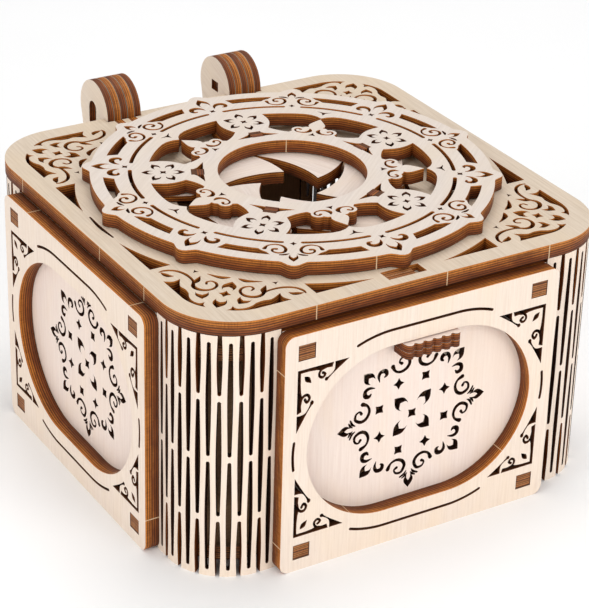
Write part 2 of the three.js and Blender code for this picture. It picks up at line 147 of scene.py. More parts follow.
def petal(tails, tip, gap, bulge, notch):
    """A hollow leaf on the X axis: a tip, two tails a gap either side, and a notch between them."""
    length = tip - tails
    shoulder = (tails + length * 0.32, bulge * 0.93)
    side = (tails + length * 0.62, bulge * 0.8)
    outer = curve([(tails, gap), shoulder, side, (tip, 0)])
    inner = curve([(notch, 0), (tails + (notch - tails) * 0.55, gap * 0.95), (tails, gap)], 3)
    half = inner[:-1] + outer
    return half + flip(half)[1:-1]


def star(x, y, radius, waist, angle, points=4):
    outline = []
    for k in range(points):
        turn = angle + 360 / points * k
        outline += [polar(radius, turn), polar(radius * waist, turn + 180 / points)]
    return shift(outline, x, y)


# ---------- boards ----------

NIB_WIDTH = 0.45  # mark left on an edge where a tab held the board in its sheet
NIB_LONGEST = 0.6  # longest edge that still counts as such a mark
NIB_REACH = 0.35
SHARP_ANGLE = 38
LAYER_STEP = 10  # the board attribute's third number is the thickness plus this for each layer
# A board's material slots: near face, cut edge, nib's mark, far face, edge of a narrow cut.
FACE, EDGE, MARK, BACK, NARROW = range(5)


def winding(x, y, loop):
    """How often the loop goes round a point."""
    turns = 0
    for (ax, ay), (bx, by) in zip(loop, loop[1:] + loop[:1]):
        if (ay <= y) != (by <= y):
            side = (bx - ax) * (y - ay) - (x - ax) * (by - ay)
            if by > ay and side > 0:
                turns += 1
            elif by <= ay and side < 0:
                turns -= 1
    return turns


def nicked(loop, spots):
    """The loop with a short segment cut into it nearest to each spot, for a nib's mark."""
    for x, y in spots:
        best = None
        for i, (a, b) in enumerate(zip(loop, loop[1:] + loop[:1])):
            length = math.dist(a, b)
            if length < 1e-6:
                continue
            along = ((x - a[0]) * (b[0] - a[0]) + (y - a[1]) * (b[1] - a[1])) / length
            along = min(max(along, 0), length)
            foot = [p + (q - p) * along / length for p, q in zip(a, b)]
            gap = math.dist(foot, (x, y))
            if best is None or gap < best[0]:
                best = (gap, i, a, b, length, along)
        _, i, a, b, length, along = best
        start, end = along - NIB_WIDTH / 2, along + NIB_WIDTH / 2
        ends = [max(start, length * 0.02), min(end, length * 0.98)]
        cut = [tuple(p + (q - p) * end / length for p, q in zip(a, b)) for end in ends]
        loop = loop[: i + 1] + cut + loop[i + 1 :]
    return loop


def triangulated(outline, holes, guides=(), inside=None):
    """(points, triangles) of a flat board with holes. No triangle crosses a guide line. Where a
    loop is given as inside, the board ends at that loop too."""
    points, edges = [], []
    for loop in [outline, *holes, *([inside] if inside else [])]:
        first = len(points)
        points += loop
        edges += [(first + i, first + (i + 1) % len(loop)) for i in range(len(loop))]
    for start, end in guides:
        edges.append((len(points), len(points) + 1))
        points += [start, end]
    flat, _, faces, *_ = delaunay_2d_cdt([Vector(p) for p in points], edges, [], 0, 1e-5)
    boxes = []
    for loop in holes:
        xs, ys = [p[0] for p in loop], [p[1] for p in loop]
        boxes.append((min(xs), max(xs), min(ys), max(ys), loop))
    kept = []
    for face in faces:
        x = sum(flat[i].x for i in face) / 3
        y = sum(flat[i].y for i in face) / 3
        if not winding(x, y, outline) or (inside and not winding(x, y, inside)):
            continue
        near = [b[4] for b in boxes if b[0] < x < b[1] and b[2] < y < b[3]]
        if not any(winding(x, y, loop) for loop in near):
            kept.append(tuple(face))
    return [(p.x, p.y) for p in flat], kept


def narrow_edges(points, rim, limit):
    """The rim edges whose loop round a cut is narrower than the limit in millimetres."""
    following = dict(rim)
    narrow, seen = set(), set()
    for start in following:
        loop, at = [], start
        while at in following and at not in seen:
            seen.add(at)
            loop.append((at, following[at]))
            at = following[at]
        ends = [(points[a], points[b]) for a, b in loop]
        area = sum(ax * by - bx * ay for (ax, ay), (bx, by) in ends) / 2
        length = sum(math.dist(a, b) for a, b in ends)
        if area < 0 and -2 * area < limit * length:
            narrow.update(loop)
    return narrow


def board(
    name, flat, thick, place, body, nodes, wood, grain=0, nibs=(), layer=1, inner=None, char_and_shade_width=0
):
    """A board from its triangulated outline. Its faces take the wood, or the inner wood on the
    far side, which for walls and lattices is painted shade of the box's inside. Its cut edges
    are browned, with painted shade: darker in layer 0, the lower of two, than in 1, and darker
    still in cuts narrower than the millimetres given, as char and painted shade. It stands for
    the CAD nodes named."""
    points, triangles = flat
    edges = dict.fromkeys(edge for a, b, c in triangles for edge in ((a, b), (b, c), (c, a)))
    rim = [(a, b) for a, b in edges if (b, a) not in edges]
    narrow = narrow_edges(points, rim, char_and_shade_width)
    used = sorted({i for face in triangles for i in face})
    index = {old: new for new, old in enumerate(used)}
    count = len(used)
    seed = sum(ord(letter) * (i + 3) for i, letter in enumerate(name))
    turn = math.radians(grain + (seed % 7 - 3) * 0.6)
    vertices, coordinates = [], []
    for t in (0, thick):
        for i in used:
            x, y = points[i]
            vertices.append(place(x, y, t))
            along = x * math.cos(turn) + y * math.sin(turn)
            across = y * math.cos(turn) - x * math.sin(turn)
            coordinates += [along + seed % 89 * 7.3, across + seed % 61 * 5.1]
            coordinates.append(t + LAYER_STEP * layer)
    faces = [tuple(index[i] + count for i in face) for face in triangles]
    faces += [tuple(index[i] for i in reversed(face)) for face in triangles]
    kinds = [FACE] * len(triangles) + [BACK] * len(triangles)
    for a, b in rim:
        a_new, b_new = index[a], index[b]
        faces.append((a_new, b_new, b_new + count, a_new + count))
        x, y = (points[a][0] + points[b][0]) / 2, (points[a][1] + points[b][1]) / 2
        marked = math.dist(points[a], points[b]) < NIB_LONGEST
        marked = marked and any(math.hypot(x - nx, y - ny) < NIB_REACH for nx, ny in nibs)
        kinds.append(MARK if marked else NARROW if (a, b) in narrow else EDGE)
    mesh = bpy.data.meshes.new(name)
    mesh.from_pydata(vertices, [], faces)
    for material in (wood, BROWNED_AND_SHADED, NIB, inner or wood, CHARRED_AND_SHADED):
        mesh.materials.append(material)
    mesh.polygons.foreach_set("material_index", kinds)
    mesh.attributes.new("board", "FLOAT_VECTOR", "POINT").data.foreach_set("vector", coordinates)
    mesh.shade_smooth()
    mesh.set_sharp_from_angle(angle=math.radians(SHARP_ANGLE))
    piece = bpy.data.objects.new(name, mesh)
    bpy.context.scene.collection.objects.link(piece)
    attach(piece, body)
    if nodes:
        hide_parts(*nodes)
    return piece


def level(bottom):
    """Places a board flat, with its underside at a height."""
    return lambda x, y, t: (x * MM, y * MM + MIDDLE, (bottom + t) * MM)


def upright(inner, side):
    """Places a board on one side of the box, its thickness growing outwards."""
    quarter = Matrix.Rotation(math.radians(90 * side), 3, "Z")

    def place(x, y, t):
        spot = quarter @ Vector((x, -inner - t, y)) * MM
        return (spot.x, spot.y + MIDDLE, spot.z)

    return place


def on_spoke(angle, out):
    """Places a board across a spoke of the ring, its thickness growing outwards."""
    turn = Matrix.Rotation(math.radians(angle), 3, "Z")

    def place(x, y, t):
        spot = turn @ Vector((out + t, x, y)) * MM
        return (spot.x, spot.y + MIDDLE, spot.z)

    return place


def sideways(left):
    """Places a board across the box, its thickness growing to the right."""
    return lambda x, y, t: ((left + t) * MM, x * MM + MIDDLE, y * MM)


# ---------- materials ----------


def colour(red, green, blue):
    """Linear colour from display values of 0 to 255."""
    shares = [v / 255 for v in (red, green, blue)]
    return (*[v / 12.92 if v < 0.039 else ((v + 0.055) / 1.055) ** 2.4 for v in shares], 1)


class Nodes:
    """Short calls for building one material's nodes."""

    def __init__(self, name):
        self.material = bpy.data.materials.new(name)
        self.material.use_nodes = True
        self.tree = self.material.node_tree
        self.shader = self.tree.nodes["Principled BSDF"]
        self.shader.inputs["Specular IOR Level"].default_value = 0.32

    def add(self, kind, inputs, output=0, **settings):
        node = self.tree.nodes.new(kind)
        for key, value in settings.items():
            setattr(node, key, value)
        for key, value in inputs.items():
            if isinstance(value, bpy.types.NodeSocket):
                self.tree.links.new(value, node.inputs[key])
            else:
                node.inputs[key].default_value = value
        return node.outputs[output]

    def scaled(self, vector, scale):
        return self.add("ShaderNodeVectorMath", {0: vector, 1: scale}, operation="MULTIPLY")

    def noise(self, vector, scale, detail=3.0, rough=0.5, warp=0.0):
        inputs = {"Vector": self.scaled(vector, scale), "Scale": 1.0, "Detail": detail}
        inputs.update({"Roughness": rough, "Distortion": warp})
        return self.add("ShaderNodeTexNoise", inputs)

    def between(self, value, start, end, low=0.0, high=1.0):
        inputs = {"Value": value, "From Min": start, "From Max": end, "To Min": low, "To Max": high}
        return self.add("ShaderNodeMapRange", inputs)

    def mix(self, share, a, b):
        """From one colour to the other by the share."""
        node = self.tree.nodes.new("ShaderNodeMix")
        node.data_type = "RGBA"
        for key, value in ((0, share), (6, a), (7, b)):
            if isinstance(value, bpy.types.NodeSocket):
                self.tree.links.new(value, node.inputs[key])
            else:
                node.inputs[key].default_value = value
        return node.outputs[2]

    def maths(self, operation, a, b=0.0):
        return self.add("ShaderNodeMath", {0: a, 1: b}, operation=operation)

    def blend(self, share, a, b):
        """From one value to the other by the share."""
        rest = self.maths("MULTIPLY", self.maths("SUBTRACT", 1.0, share), a)
        return self.maths("ADD", self.maths("MULTIPLY", share, b), rest)

    def finish(self, base, rough, height, depth):
        link = self.tree.links.new
        link(base, self.shader.inputs["Base Color"])
        link(rough, self.shader.inputs["Roughness"])
        inputs = {"Height": height, "Distance": depth, "Strength": 0.6}
        link(self.add("ShaderNodeBump", inputs), self.shader.inputs["Normal"])
        return self.material


def board_space(n):
    """Millimetres in the board: along the grain, across it, and through its thickness."""
    return n.add("ShaderNodeAttribute", {}, 1, attribute_name="board")


def wood_look(n, space, light, dark):
    """(colour, roughness, height) of a sanded birch face."""
    streak = n.noise(space, (0.045, 1.1, 0.3), 5.0, 0.62, 0.25)
    fine = n.noise(space, (0.28, 5.5, 1.0), 4.0, 0.7)
    broad = n.noise(space, (0.022, 0.05, 0.1), 3.0, 0.5, 0.6)
    pore = n.noise(space, (0.5, 7.5, 1.0), 2.0, 0.5)
    fleck = n.noise(space, (0.16, 0.55, 1.0), 3.0, 0.6)
    base = n.mix(n.between(streak, 0.32, 0.72), dark, light)
    warm = tuple(a * b for a, b in zip(light, (0.97, 0.91, 0.80, 1)))
    base = n.mix(n.between(broad, 0.42, 0.75, 0.0, 0.6), base, warm)
    base = n.mix(n.between(fine, 0.5, 0.8, 0.0, 0.35), base, dark)
    brown = tuple(a * b for a, b in zip(dark, (0.80, 0.70, 0.58, 1)))
    base = n.mix(n.between(pore, 0.66, 0.74, 0.0, 0.4), base, brown)
    base = n.mix(n.between(fleck, 0.6, 0.75, 0.0, 0.25), base, light)
    rough = n.between(fine, 0.3, 0.8, 0.56, 0.74)
    height = n.maths("ADD", n.maths("MULTIPLY", fine, 0.6), n.maths("MULTIPLY", pore, -0.5))
    return base, rough, height


def face_wood(name, light, dark):
    n = Nodes(name)
    base, rough, height = wood_look(n, board_space(n), light, dark)
    return n.finish(base, rough, height, 0.00006)


def burnt_and_shaded_look(n, space, through, layer, gold, brown, char_and_shade):
    """(colour, roughness, height) of a laser-cut edge: golden above to char below, partly burn and
    partly painted shade deeper in the cut, with dark lines between its three plies and where two
    boards meet, and a painted highlight along the top of an upper board."""
    streak = n.noise(space, (1.9, 1.9, 0.2), 4.0, 0.65)
    patch = n.noise(space, (0.10, 0.10, 0.22), 3.0, 0.6, 0.4)
    ply = n.noise(space, (0.05, 0.05, 2.8), 3.0, 0.6)
    wander = n.between(patch, 0.25, 0.75, -1.1, 1.1)
    # The lower board and the lower part of each edge go darker: partly real burn, partly painted
    # shade deeper in the cut.
    level = n.maths("ADD", n.maths("ADD", through, n.maths("MULTIPLY", layer, 2.6)), wander)
    base = n.mix(n.between(level, 4.6, 2.0), gold, brown)
    base = n.mix(n.between(level, 2.2, -0.4, 0.0, 0.62), base, char_and_shade)
    base = n.mix(n.between(streak, 0.46, 0.72, 0.0, 0.6), base, brown)
    base = n.mix(n.between(ply, 0.52, 0.66, 0.0, 0.62), base, char_and_shade)
    middle = n.maths("ABSOLUTE", n.maths("SUBTRACT", through, BOARD / 2))
    seam = n.maths("ABSOLUTE", n.maths("SUBTRACT", middle, 0.5))
    base = n.mix(n.between(seam, 0.34, 0.08, 0.0, 0.78), base, char_and_shade)
    base = n.mix(n.between(middle, 1.1, 1.38, 0.0, 0.85), base, char_and_shade)
    # Painted highlight: a pale line along the top of an upper board's cut edge.
    rim = n.between(n.maths("MULTIPLY", layer, through), 2.62, 2.86, 0.0, 0.6)
    painted_highlight = tuple(min(a * 1.3 + b * 0.03, 1) for a, b in zip(gold, (1, 1, 1, 1)))
    base = n.mix(rim, base, painted_highlight)
    rough = n.between(streak, 0.3, 0.8, 0.5, 0.8)
    height = n.maths("ADD", streak, n.maths("MULTIPLY", ply, 0.7))
    return base, rough, height


def browned_and_shaded_edge(name, *colours):
    n = Nodes(name)
    space = board_space(n)
    stack = n.add("ShaderNodeSeparateXYZ", {"Vector": space}, 2)
    layer = n.maths("ROUND", n.maths("DIVIDE", stack, LAYER_STEP))
    through = n.maths("SUBTRACT", stack, n.maths("MULTIPLY", layer, LAYER_STEP))
    base, rough, height = burnt_and_shaded_look(n, space, through, layer, *colours)
    return n.finish(base, rough, height, 0.00012)


def torn_nib(name):
    """The pale splinter left where a piece was snapped out of its sheet."""
    n = Nodes(name)
    space = board_space(n)
    fibre = n.noise(space, (3.0, 3.0, 1.2), 4.0, 0.7)
    base = n.mix(n.between(fibre, 0.3, 0.7), colour(236, 214, 180), colour(190, 150, 104))
    return n.finish(base, n.between(fibre, 0.3, 0.8, 0.7, 0.9), fibre, 0.0001)


def solid_board(name, light, dark, axis):
    """A CAD board's look: pale where it faces along its axis, and browned on its cut edges."""
    n = Nodes(name)
    place = n.add("ShaderNodeTexCoord", {}, 3)
    facing = n.add("ShaderNodeTexCoord", {}, 1)
    space = n.scaled(place, (1000, 1000, 1000))
    normal = n.add("ShaderNodeSeparateXYZ", {"Vector": facing}, axis)
    face = n.between(n.maths("ABSOLUTE", normal), 0.6, 0.8)
    thickness = n.add("ShaderNodeSeparateXYZ", {"Vector": space}, axis)
    through = n.maths("ADD", n.maths("PINGPONG", thickness, (BOARD - GLUE) / 2), 0.9)
    wood, wood_rough, wood_height = wood_look(n, space, light, dark)
    shades = colour(214, 146, 84), colour(150, 86, 40), colour(42, 18, 6)
    burnt, burnt_rough, burnt_height = burnt_and_shaded_look(n, space, through, 0.5, *shades)
    rough = n.blend(face, burnt_rough, wood_rough)
    height = n.blend(face, burnt_height, wood_height)
    return n.finish(n.mix(face, burnt, wood), rough, height, 0.00008)


def solid_burnt(name):
    """Small pegs and legs that show only cut edges."""
    n = Nodes(name)
    space = n.scaled(n.add("ShaderNodeTexCoord", {}, 3), (1000, 1000, 1000))
    band = n.maths("PINGPONG", n.noise(space, (0.8, 0.8, 0.3), 2.0), 0.5)
    streak = n.noise(space, (2.2, 2.2, 0.4), 4.0, 0.65)
    base = n.mix(n.between(streak, 0.35, 0.7), colour(150, 104, 74), colour(78, 44, 28))
    base = n.mix(n.between(band, 0.38, 0.5, 0.0, 0.5), base, colour(52, 28, 18))
    return n.finish(base, n.between(streak, 0.3, 0.8, 0.6, 0.85), streak, 0.00012)


# The ring's and lid's faces are darker than the frames': partly their own tone, partly painted
# shade for the lesser light on the top.
RING_WOOD = face_wood("ring_birch", colour(226, 214, 204), colour(213, 200, 189))
LID_WOOD = face_wood("lid_birch", colour(222, 206, 187), colour(202, 184, 163))
FRAME_WOOD = face_wood("frame_birch", colour(248, 232, 217), colour(234, 215, 198))
PANEL_WOOD = face_wood("panel_birch", colour(248, 232, 221), colour(238, 219, 207))
BLADE_WOOD = face_wood("blade_birch", colour(236, 222, 212), colour(218, 202, 190))
HINGE_WOOD = face_wood("hinge_birch", colour(240, 226, 210), colour(224, 206, 188))
# Far faces of walls and lattices: painted dark, as painted shade for the inside of the box.
INNER_SHADE_WOOD = face_wood("inner_birch_painted_shade", colour(176, 140, 106), colour(146, 110, 80))
# Cut edges: laser browning, with painted shade lower in the cut.
BROWNED_AND_SHADED = browned_and_shaded_edge(
    "browned_and_shaded_edge", colour(206, 126, 46), colour(140, 71, 22), colour(42, 18, 6)
)
# Edges of narrow cuts: darker, partly char and partly painted shade inside the narrow cut.
CHARRED_AND_SHADED = browned_and_shaded_edge("charred_and_shaded_edge", colour(120, 66, 30), colour(66, 32, 15), colour(20, 10, 6))
TAB_WOOD = face_wood("tab_birch", colour(168, 124, 92), colour(126, 84, 58))
NIB = torn_nib("torn_nib")


# ---------- box body ----------

WINDOW = {"z": 52.2, "radius": 36.8, "straight": 14.8}
FRAME = {"half": 62, "top": 103.7, "corner": 4, "inner": 94.2}
WALL = {"half": 59.8, "top": 103.5, "inner": 91}
BACK_NOTCH = {"frame": 98.3, "wall": 103}  # heights where the hinge barrels need room
TENON = {"at": 52.7, "half": 3.7, "low": -0.3, "high": 6.3}
SHELVES = [5.5, 93.2]  # undersides of the floor and top plates
HINGE_TENON = {"low": 90.9, "high": 95.9}
SLIT = {"off": 6.8, "width": 1.2, "steps": 8, "spread": 21.1, "back_spread": 4}
SIDE_CUT = 4  # frames, walls and lattice are darker in cuts narrower than this, as char and painted shade


def tenon_holes():
    half, low, high = TENON["half"], TENON["low"], TENON["high"]
    spots = [(x, z) for x in (-TENON["at"], TENON["at"]) for z in SHELVES]
    return [rectangle(x - half, x + half, z + low, z + high) for x, z in spots]


def barrel_x(index):
    return BARREL["from"] + BARREL["board"] / 2 + index * BARREL["pitch"]


def hinge_tenon_holes():
    half, low, high = BARREL["board"] / 2 + FIT, HINGE_TENON["low"], HINGE_TENON["high"]
    spots = [side * barrel_x(index) for side in (-1, 1) for index in (0, 2, 4)]
    return [rectangle(x - half, x + half, low, high) for x in spots]


def notched(top, floor):
    """The top edge of a back board, right to left, dropped under the hinge barrels."""
    near, far = BARREL_NEAR, BARREL_FAR
    right = [(far, top), (far, floor), (near, floor), (near, top)]
    return right + [(-x, y) for x, y in reversed(right)]


def frame_outline(side):
    half, top, corner = FRAME["half"], FRAME["top"], FRAME["corner"]
    return [
        *arc(half - corner, corner, corner, -90, 0, 8),
        *arc(half - corner, top - corner, corner, 0, 90, 8),
        *(notched(top, BACK_NOTCH["frame"]) if side == "back" else []),
        *arc(corner - half, top - corner, corner, 90, 180, 8),
        *arc(corner - half, corner, corner, 180, 270, 8),
    ]


def window():
    z, radius, straight = WINDOW["z"], WINDOW["radius"], WINDOW["straight"]
    return arc(straight, z, radius, -90, 90, 40) + arc(-straight, z, radius, 90, 270, 40)


def slits(side):
    """The thin lines that follow the window: one above, one below and a short one at each end."""
    z, straight, radius = WINDOW["z"], WINDOW["straight"], WINDOW["radius"] + SLIT["off"]
    spread, steps = SLIT["back_spread" if side == "back" else "spread"], SLIT["steps"]
    lines = []
    for sign, turn in ((1, 90), (-1, -90)):
        near = arc(sign * straight, z, radius, turn - spread, turn, steps)
        lines.append(near + arc(-sign * straight, z, radius, turn, turn + spread, steps))
    for sign, turn in ((1, 0), (-1, 180)):
        lines.append(arc(sign * straight, z, radius - 0.7, turn - 8, turn + 8, 6))
    return [stroke([(x, y, SLIT["width"]) for x, y in line], 1) for line in lines]


def filigree():
    """The scrollwork of one frame corner, measured right and down from its own corner."""
    arm = [(15.6, 0), (15.0, 2.0), (12.8, 1.8), (10.4, 2.4), (8.2, 1.7), (5.2, 1.4)]
    spiral = stroke(
        [(11.4, 1.2, 1.0), (9.6, 2.7, 1.1), (9.4, 4.5, 1.1), (10.8, 5.4, 1.2), (12.0, 4.3, 1.1)]
        + [(10.9, 3.4, 1.2)],
        3,
    )
    wedge = [(16.2, 0), (22.4, 0)]
    wedge += curve([(22.4, 0), (19.0, 2.3), (15.6, 4.7), (12.9, 7.0)], 3)[1:]
    wedge += curve([(12.1, 6.1), (14.3, 5.0), (16.0, 3.2), (16.2, 0)], 3)[:-1]
    bead = circle(12.6, 6.5, 0.85, 10)
    half = [spiral, wedge, bead]
    tall = [[(y, x * 1.2) for x, y in reversed(points)] for points in (arm, *half)]
    corner = [(0, 0), *arm, (1.4, 1.4), *tall[0]]
    eye = stroke([(2.9, 3.1, 0.1), (4.3, 4.6, 2.3), (6.0, 6.5, 0.1)], 4)
    return [corner, eye, *half, *tall[1:]]


def mirrored(loops):
    """Every loop in all four quarters, wound the same way."""
    copies = []
    for points in loops:
        for right in (-1, 1):
            for up in (-1, 1):
                moved = [(right * x, up * y) for x, y in points]
                copies.append(moved if right == up else moved[::-1])
    return copies


def frame_cuts(side):
    corner = [[(56.5 - x, 36.75 - y) for x, y in points] for points in filigree()]
    return slits(side) + [shift(points, 0, 52.25) for points in mirrored(corner)]


def rosette():
    """The pierced flower of a wall panel, about its own middle."""
    cuts = [star(0, 0, 2.5, 0.56, 45)]
    leaf = petal(4.8, 12.0, 2.1, 2.9, 8.0)
    volute = stroke(
        [(23.1, 10.0, 1.9), (20.8, 8.7, 1.1), (19.9, 6.1, 1.3), (21.0, 3.4, 1.5), (23.4, 2.3, 1.5)]
        + [(26.1, 3.7, 1.3), (26.0, 6.1, 1.0), (24.4, 7.0, 0.9), (23.5, 5.9, 1.4)]
    )
    tick = stroke([(26.2, 1.3, 0.5), (27.5, 2.2, 1.1), (28.4, 4.1, 0.8)], 3)
    spur = stroke([(27.4, 0.9, 0.5), (28.4, 1.7, 1.0), (29.1, 3.0, 0.6)], 3)
    drop = petal(28.1, 34.2, 0.9, 2.3, 31.0)
    fleur = petal(26.5, 32.8, 1.4, 2.6, 29.3)
    comma = stroke(
        [(23.8, 1.5, 0.4), (25.9, 2.9, 1.4), (26.5, 4.8, 1.7), (25.0, 6.2, 2.0)]
        + [(23.4, 5.5, 1.6), (23.4, 4.3, 0.8)]
    )
    for k in range(4):
        for points in (leaf, fleur, comma, flip(comma)):
            cuts.append(spin(points, 45 + 90 * k))
        for points in (drop, volute, flip(volute), tick, flip(tick), spur, flip(spur)):
            cuts.append(spin(points, 90 * k))
        cuts.append(spin(star(16.3, 0, 2.6, 0.5, -25), 25 + 90 * k))
        cuts.append(spin(star(16.3, 0, 2.5, 0.58, -25), 70 + 90 * k))
    return [shift(points, 0, WINDOW["z"]) for points in cuts]


def wall_outline(side):
    half, top = WALL["half"], WALL["top"]
    upper = notched(top, BACK_NOTCH["wall"]) if side == "back" else []
    return [(-half, 0), (half, 0), (half, top), *upper, (-half, top)]


def under_tab(loop):
    """A cut of the front flower that would run into the thumb tab's slot."""
    xs, ys = zip(*loop)
    return max(ys) > 80.5 and abs(sum(xs) / len(xs)) < 4


# Each frame's nibs: two on the edge of the window, and the rest on its outline.
FRAME_NIBS = {
    "front": [(40.8, 26.2), (-31, 19), (-62, 12), (-62, 88), (62, 96)],
    "right": [(40.8, 26.2), (-40.8, 78.2), (-62, 20), (62, 80)],
    "back": [(40.8, 26.2), (-40.8, 78.2), (-62, 20), (62, 80)],
    "left": [(-46.6, 36), (31, 19), (-62, 96), (62, 15), (-40, 103.7), (50, 103.7)],
}

for index, side in enumerate(SIDES):
    holes = tenon_holes() + (hinge_tenon_holes() if side == "back" else [])
    cuts = rosette()
    if side == "front":
        cuts = [rectangle(-3.8, 12.8, 82.1, 88.7)] + [c for c in cuts if not under_tab(c)]
    panel = triangulated(wall_outline(side), holes + cuts)
    place, nodes = upright(WALL["inner"], index), [f"wall_{side}"]
    looks = {"grain": 90, "layer": 0, "inner": INNER_SHADE_WOOD, "char_and_shade_width": SIDE_CUT}
    board(f"panel_{side}", panel, BOARD - GLUE, place, "case", nodes, PANEL_WOOD, **looks)
    marks = FRAME_NIBS[side]
    outline, opening = nicked(frame_outline(side), marks[2:]), nicked(window(), marks[:2])
    face = triangulated(outline, [opening, *holes, *frame_cuts(side)])
    for layer, label in enumerate(("inner", "outer")):
        place = upright(FRAME["inner"] + BOARD * layer, index)
        nodes = [f"frame_{side}_{label}"]
        looks = {"grain": 90, "nibs": marks, "layer": layer, "char_and_shade_width": SIDE_CUT}
        board(f"side_{side}_{label}", face, BOARD, place, "case", nodes, FRAME_WOOD, **looks)


LATTICE = {"centre": 68, "radius": 26, "height": 105.2, "start": -7.6, "columns": 10}
LATTICE_BEND = (LATTICE["radius"] - BOARD / 2) * math.pi / 2


def lattice_flat():
    """The slit sheet of one corner, laid flat: x along its middle, y up."""
    bend, start, height = LATTICE_BEND, LATTICE["start"], LATTICE["height"]
    outline = rectangle(start, bend - start, 0, height)
    count = LATTICE["columns"]
    step = bend / count
    rim, bridge, past = 2.8, 1.2, 3
    half, quarter = height / 2, height / 4
    closed = [(rim, half - bridge), (half + bridge, height - rim)]
    opened = [
        (-past, quarter - bridge),
        (quarter + bridge, 3 * quarter - bridge),
        (3 * quarter + bridge, height + past),
    ]
    columns = [(-step, closed), (bend + step, closed)]
    columns += [(step * i, closed if i % 2 else opened) for i in range(count + 1)]
    end, waist = 1.4, 2.15
    holes = []
    for x, spans in columns:
        for bottom, top in spans:
            tips = (x, bottom + end / 2, end), (x, top - end / 2, end)
            holes.append(stroke([tips[0], (x, (bottom + top) / 2, waist), tips[1]], 6))
    folds, margin = 42, 0.02
    guides = []
    for i in range(folds + 1):
        x = start + margin + (bend - 2 * start - 2 * margin) * i / folds
        guides.append(((x, -1), (x, height + 1)))
    return triangulated(outline, holes, guides)


def bent(turn):
    """Bends a flat sheet round a corner of the box."""
    centre, outer = LATTICE["centre"], LATTICE["radius"]
    middle = outer - BOARD / 2
    quarter = Matrix.Rotation(math.radians(90 * turn), 3, "Z")

    def place(x, y, t):
        reach = outer - BOARD + t
        angle = min(max(x / middle, 0), math.pi / 2)
        past = x - angle * middle
        spot = Vector((centre + reach * math.cos(angle), centre + reach * math.sin(angle), y))
        spot += Vector((-math.sin(angle), math.cos(angle), 0)) * past
        spot = quarter @ spot * MM
        return (spot.x, spot.y + MIDDLE, spot.z)

    return place


lattice = lattice_flat()
for turn, name in enumerate(("back_right", "back_left", "front_left", "front_right")):
    nodes = [f"corner_lattice_{name}"]
    looks = {"grain": 90, "layer": 0, "inner": INNER_SHADE_WOOD, "char_and_shade_width": SIDE_CUT}
    board(f"lattice_{name}", lattice, BOARD, bent(turn), "case", nodes, FRAME_WOOD, **looks)


# ---------- lid ----------

LID = {"half": 95, "corner": 29, "z": 105.5, "recess": 70, "hub": 48.5, "arm": 75.7}
LATCH_SLOT = {"left": -11.5, "low": -90.6, "high": -84.0}
IRIS = {
    "blades": 5, "pivot": 61, "angle": 14, "edge": 38, "gap": 0.18, "thick": 2.4, "z": 108.8,
    "driver": 38.5, "ratio": -1.704, "closed": 6.9, "opened": -10.1, "lining": 31,
}
PIN_HOLE = 1.9
LID_CUT, RING_CUT = 1.2, 1.0  # cuts narrower than these are darker, as char and painted shade


def lid_corner():
    """The scrollwork of the lid's corner at +X +Y."""
    inward = [(-x, y) for x, y in reversed(petal(-98.0, -90.8, 1.9, 2.9, -95.2))]
    outward = petal(105.2, 112.4, 1.9, 2.8, 107.8)
    diagonal = [spin(inward, 45), spin(outward, 45), star(71.4, 71.4, 2.5, 0.56, 45)]
    scroll = stroke(
        [(84.6, 44.5, 0.7), (82.3, 44.4, 1.3), (79.2, 46.0, 1.4), (77.2, 49.2, 1.5)]
        + [(76.5, 53.0, 1.3), (76.9, 57.2, 1.2), (78.7, 60.2, 1.7), (78.6, 63.0, 1.9)]
        + [(76.6, 65.3, 1.7), (73.8, 65.9, 1.3), (71.2, 64.7, 1.2), (70.1, 62.3, 1.2)]
        + [(70.9, 60.1, 1.0), (72.7, 59.9, 1.0), (73.6, 61.3, 0.9)]
    )
    leaf = stroke([(77.6, 58.8, 0.5), (75.3, 57.2, 2.3), (72.6, 54.6, 0.2)])
    comma = stroke([(84.2, 45.3, 0.6), (83.8, 47.0, 2.0), (83.1, 48.8, 2.2), (81.6, 49.8, 0.7)])
    hook = shift(spin(petal(-0.4, 5.8, 2.2, 2.7, 2.5), 62), 78.0, 65.8)
    border = [(86.8, 51.9), (86.8, 64)] + arc(69.5, 66, 17.3, 2, 40, 8)
    border += curve([(82.7, 77.1), (82.5, 75.2), (81.1, 73.6)], 3)
    border += curve([(81.1, 73.6), (83.3, 73.3), (84.5, 70.6), (84.2, 67.4), (82.9, 64.6)], 3)[1:]
    border += curve([(82.9, 64.6), (82.5, 61.4), (83.0, 58.4), (81.8, 55.6), (80.3, 53.0)], 3)[1:]
    border += curve([(80.3, 53.0), (83.6, 53.7), (86.8, 51.9)], 3)[1:-1]
    wedge = rounded_off([(69.4, 53.9), (68.4, 57.4), (66.4, 60.6), (62.8, 60.9), (66.4, 57.6)], 3)
    mark = star(72.4, 50.4, 1.5, 0.35, 20, 3)
    half = [scroll, leaf, comma, hook, border, wedge, mark]
    start, end = math.degrees(math.atan2(41.2, 78)), 10.4
    half.append([(86.8, 15.9), (86.8, 41.2)] + arc(0, 0, 88.2, start, end, 14))
    return diagonal + half + [swap(points) for points in half]


def lid_cuts():
    cuts = mirrored(lid_corner())
    for side in (-1, 1):
        end, middle = side * 86.6, side * 87.2
        cuts.append(stroke([(end, -10, 0.8), (middle, 0, 1.5), (end, 10, 0.8)]))
    return cuts


